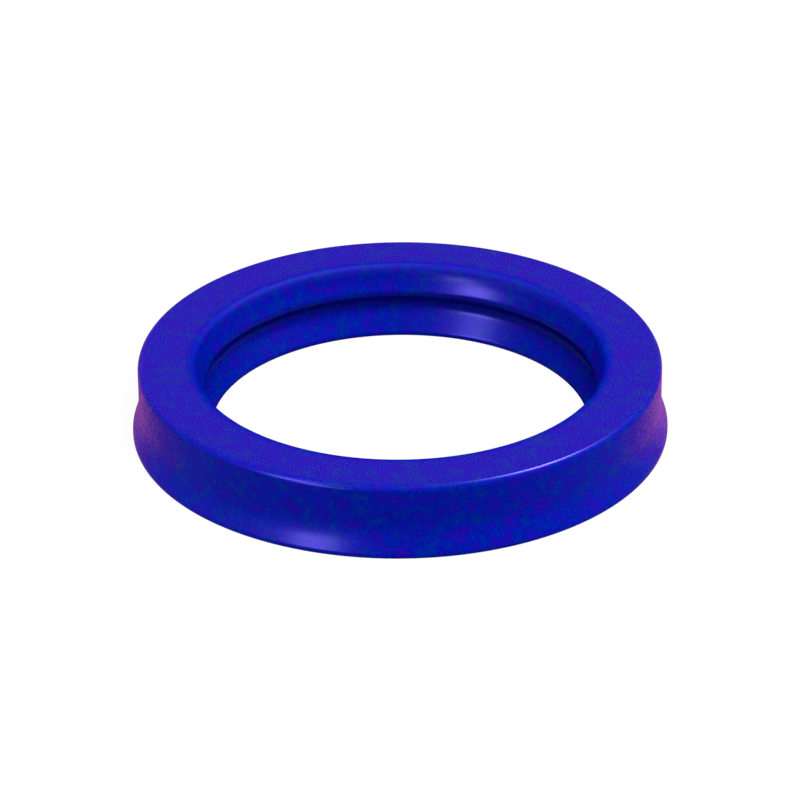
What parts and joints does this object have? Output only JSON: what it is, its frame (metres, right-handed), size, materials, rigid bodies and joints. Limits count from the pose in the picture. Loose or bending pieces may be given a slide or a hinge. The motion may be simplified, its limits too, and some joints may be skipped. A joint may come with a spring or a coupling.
{
  "type": "shaft lip seal",
  "caption": "Moulded polyurethane U-cup ring that seals a shaft in its housing: solid heel, flared outer lip, main inner lip, guard lip with an undercut, and a pressure groove.",
  "frame": {"origin": "centre of the ring in the plane that the lip tips rest on", "axes": "+Z along the shaft's axis from the lips to the heel face"},
  "size_m": [0.043, 0.043, 0.006],
  "materials": {
    "polyurethane": "satin moulded blue polyurethane"
  },
  "bodies": {
    "root": {"seal_ring": "polyurethane"}
  },
  "joints": []
}
